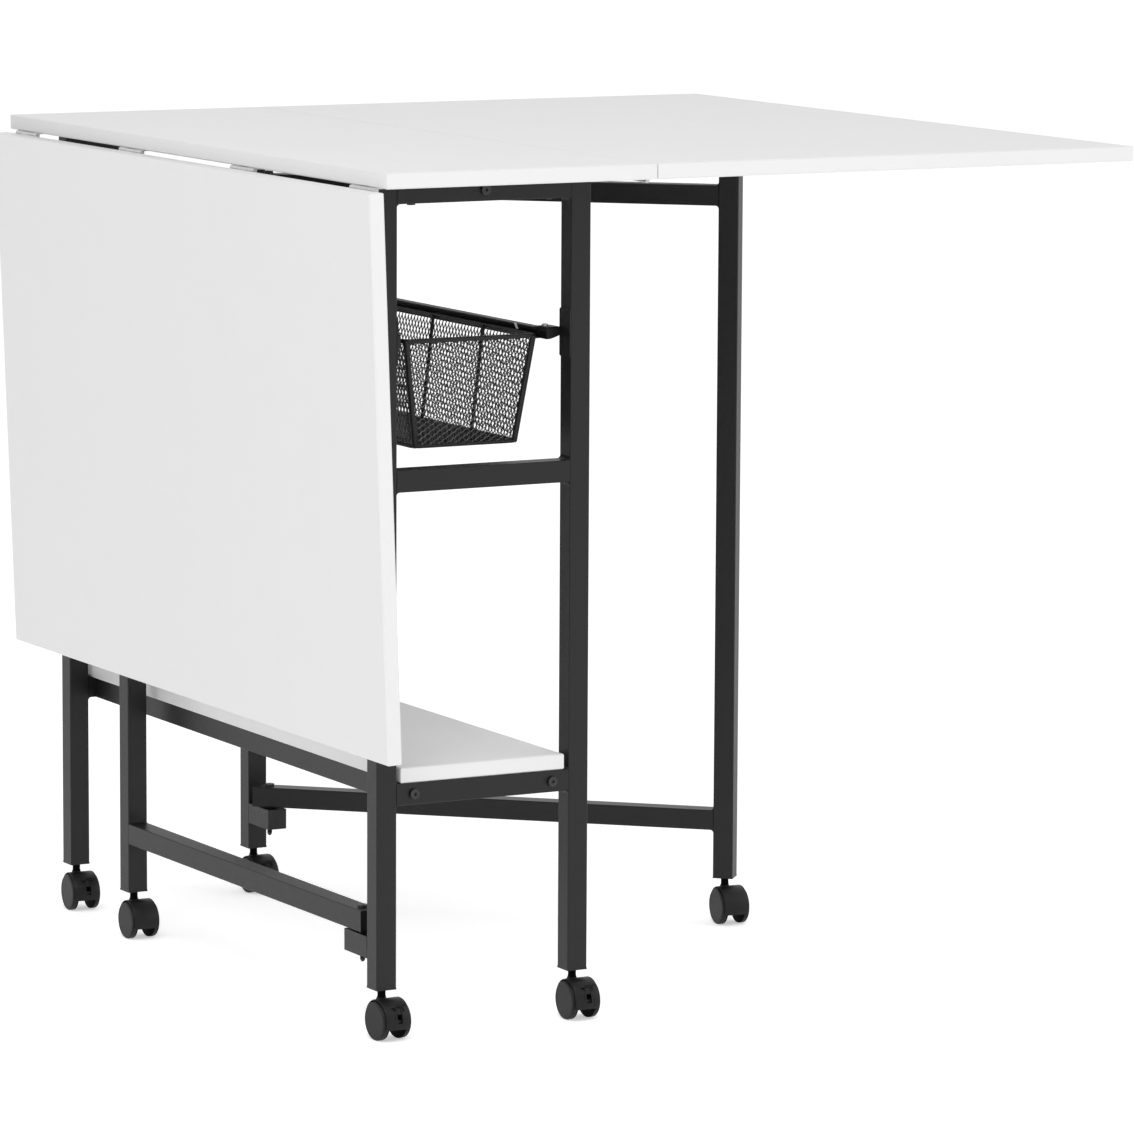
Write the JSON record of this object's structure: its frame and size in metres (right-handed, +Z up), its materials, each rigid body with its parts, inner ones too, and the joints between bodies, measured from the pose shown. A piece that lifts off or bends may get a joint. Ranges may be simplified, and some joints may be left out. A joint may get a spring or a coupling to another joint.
{
  "type": "fabric cutting table",
  "caption": "Tall drop-leaf cutting table on casters: white boards on a narrow black tube frame with swing-out gate legs, a sliding mesh basket and a lower shelf.",
  "frame": {"origin": "on the floor, under the middle of the whole outline with the left leaf hanging and the right leaf raised", "axes": "+Z up; +X from the hanging leaf towards the raised leaf; +Y from the open front of the basket to the back"},
  "size_m": [0.8978, 0.927, 0.889],
  "materials": {
    "white_laminate": "satin white melamine",
    "black_powder_coat": "satin powder coat",
    "black_plastic": "matte",
    "caster_plastic": "satin moulded",
    "zinc_plate": "bright zinc",
    "blackened_bolt": "blackened",
    "basket_wire": "satin powder coat",
    "basket_mesh": "satin powder coat"
  },
  "bodies": {
    "root": {"top_board": "white_laminate", "shelf_board": "white_laminate", "post_front_left": "black_powder_coat", "post_front_right": "black_powder_coat", "top_rail_front": "black_powder_coat", "mid_rail_front": "black_powder_coat", "bottom_rail_front": "black_powder_coat", "post_back_left": "black_powder_coat", "post_back_right": "black_powder_coat", "top_rail_back": "black_powder_coat", "mid_rail_back": "black_powder_coat", "bottom_rail_back": "black_powder_coat", "side_rail_left": "black_powder_coat", "side_rail_right": "black_powder_coat", "centre_beam": "black_powder_coat", "frame_bolts": "blackened_bolt", "top_screws": "blackened_bolt", "hinge_stubs_left": "black_powder_coat", "hinge_stubs_right": "black_powder_coat", "pivot_bolts": "blackened_bolt", "pivot_washers": "black_plastic", "hinge_plates_left": "zinc_plate", "hinge_plates_right": "zinc_plate", "hinge_pins": "zinc_plate", "basket_runner_left": "black_powder_coat", "basket_runner_right": "black_powder_coat", "post_plugs": "black_plastic"},
    "leaf_left": {"leaf_left_board": "white_laminate", "leaf_left_hinge_plates": "zinc_plate"},
    "leaf_right": {"leaf_right_board": "white_laminate", "leaf_right_hinge_plates": "zinc_plate"},
    "gate_left": {"gate_left_lower_rail": "black_powder_coat", "gate_left_upper_rail": "black_powder_coat", "gate_left_post": "black_powder_coat", "gate_left_plugs": "black_plastic"},
    "gate_right": {"gate_right_lower_rail": "black_powder_coat", "gate_right_upper_rail": "black_powder_coat", "gate_right_post": "black_powder_coat", "gate_right_plugs": "black_plastic"},
    "basket": {"basket_frame": "basket_wire", "basket_mesh": "basket_mesh"},
    "caster_front_left_swivel": {"caster_front_left_hood": "caster_plastic"},
    "caster_front_left_wheels": {"caster_front_left_wheels": "caster_plastic"},
    "caster_front_left_brake": {"caster_front_left_brake": "caster_plastic"},
    "caster_front_right_swivel": {"caster_front_right_hood": "caster_plastic"},
    "caster_front_right_wheels": {"caster_front_right_wheels": "caster_plastic"},
    "caster_front_right_brake": {"caster_front_right_brake": "caster_plastic"},
    "caster_back_left_swivel": {"caster_back_left_hood": "caster_plastic"},
    "caster_back_left_wheels": {"caster_back_left_wheels": "caster_plastic"},
    "caster_back_left_brake": {"caster_back_left_brake": "caster_plastic"},
    "caster_back_right_swivel": {"caster_back_right_hood": "caster_plastic"},
    "caster_back_right_wheels": {"caster_back_right_wheels": "caster_plastic"},
    "caster_back_right_brake": {"caster_back_right_brake": "caster_plastic"},
    "caster_gate_left_swivel": {"caster_gate_left_hood": "caster_plastic"},
    "caster_gate_left_wheels": {"caster_gate_left_wheels": "caster_plastic"},
    "caster_gate_right_swivel": {"caster_gate_right_hood": "caster_plastic"},
    "caster_gate_right_wheels": {"caster_gate_right_wheels": "caster_plastic"}
  },
  "joints": [
    {"name": "leaf_left_hinge", "type": "hinge", "parent": "root", "child": "leaf_left", "pos_m": [-0.43035, 0, 0.8704], "axis": [0, 1, 0], "range_deg": [-0.3, 95.12]},
    {"name": "leaf_right_hinge", "type": "hinge", "parent": "root", "child": "leaf_right", "pos_m": [-0.12385, 0, 0.8704], "axis": [0, -1, 0], "range_deg": [0, 3]},
    {"name": "gate_left_pivot", "type": "hinge", "parent": "root", "child": "gate_left", "pos_m": [-0.38755, -0.3274, 0.1042], "axis": [0, 0, 1], "range_deg": [-0.95, 0.3]},
    {"name": "gate_right_pivot", "type": "hinge", "parent": "root", "child": "gate_right", "pos_m": [-0.16665, 0.3479, 0.1042], "axis": [0, 0, 1], "range_deg": [-47.2, 42.8]},
    {"name": "basket_slide", "type": "slide", "parent": "root", "child": "basket", "axis": [0, -1, 0], "range_m": [0, 0.28]},
    {"name": "caster_front_left_swivel_joint", "type": "hinge", "parent": "root", "child": "caster_front_left_swivel", "pos_m": [-0.38755, -0.3702, 0.05], "axis": [0, 0, 1], "continuous": true},
    {"name": "caster_front_left_axle", "type": "hinge", "parent": "caster_front_left_swivel", "child": "caster_front_left_wheels", "pos_m": [-0.38664, -0.38317, 0.02], "axis": [0.9976, 0.0698, 0], "continuous": true},
    {"name": "caster_front_left_brake_lever", "type": "hinge", "parent": "caster_front_left_swivel", "child": "caster_front_left_brake", "pos_m": [-0.38664, -0.38317, 0.02], "axis": [0.9976, 0.0698, 0], "range_deg": [0, 22]},
    {"name": "caster_front_right_swivel_joint", "type": "hinge", "parent": "root", "child": "caster_front_right_swivel", "pos_m": [-0.16665, -0.3702, 0.05], "axis": [0, 0, 1], "continuous": true},
    {"name": "caster_front_right_axle", "type": "hinge", "parent": "caster_front_right_swivel", "child": "caster_front_right_wheels", "pos_m": [-0.16665, -0.3832, 0.02], "axis": [1, 0, 0], "continuous": true},
    {"name": "caster_front_right_brake_lever", "type": "hinge", "parent": "caster_front_right_swivel", "child": "caster_front_right_brake", "pos_m": [-0.16665, -0.3832, 0.02], "axis": [1, 0, 0], "range_deg": [0, 22]},
    {"name": "caster_back_left_swivel_joint", "type": "hinge", "parent": "root", "child": "caster_back_left_swivel", "pos_m": [-0.38755, 0.3907, 0.05], "axis": [0, 0, 1], "continuous": true},
    {"name": "caster_back_left_axle", "type": "hinge", "parent": "caster_back_left_swivel", "child": "caster_back_left_wheels", "pos_m": [-0.38823, 0.37772, 0.02], "axis": [0.9986, -0.0523, 0], "continuous": true},
    {"name": "caster_back_left_brake_lever", "type": "hinge", "parent": "caster_back_left_swivel", "child": "caster_back_left_brake", "pos_m": [-0.38823, 0.37772, 0.02], "axis": [0.9986, -0.0523, 0], "range_deg": [0, 22]},
    {"name": "caster_back_right_swivel_joint", "type": "hinge", "parent": "root", "child": "caster_back_right_swivel", "pos_m": [-0.16665, 0.3907, 0.05], "axis": [0, 0, 1], "continuous": true},
    {"name": "caster_back_right_axle", "type": "hinge", "parent": "caster_back_right_swivel", "child": "caster_back_right_wheels", "pos_m": [-0.16619, 0.37771, 0.02], "axis": [0.9994, 0.0349, 0], "continuous": true},
    {"name": "caster_back_right_brake_lever", "type": "hinge", "parent": "caster_back_right_swivel", "child": "caster_back_right_brake", "pos_m": [-0.16619, 0.37771, 0.02], "axis": [0.9994, 0.0349, 0], "range_deg": [0, 22]},
    {"name": "caster_gate_left_swivel_joint", "type": "hinge", "parent": "gate_left", "child": "caster_gate_left_swivel", "pos_m": [-0.39655, 0.21573, 0.05], "axis": [0, 0, 1], "continuous": true},
    {"name": "caster_gate_left_axle", "type": "hinge", "parent": "caster_gate_left_swivel", "child": "caster_gate_left_wheels", "pos_m": [-0.39655, 0.20273, 0.02], "axis": [1, 0, 0], "continuous": true},
    {"name": "caster_gate_right_swivel_joint", "type": "hinge", "parent": "gate_right", "child": "caster_gate_right_swivel", "pos_m": [0.22238, -0.01234, 0.05], "axis": [0, 0, 1], "continuous": true},
    {"name": "caster_gate_right_axle", "type": "hinge", "parent": "caster_gate_right_swivel", "child": "caster_gate_right_wheels", "pos_m": [0.22102, -0.02527, 0.02], "axis": [0.9945, -0.1045, 0], "continuous": true}
  ]
}
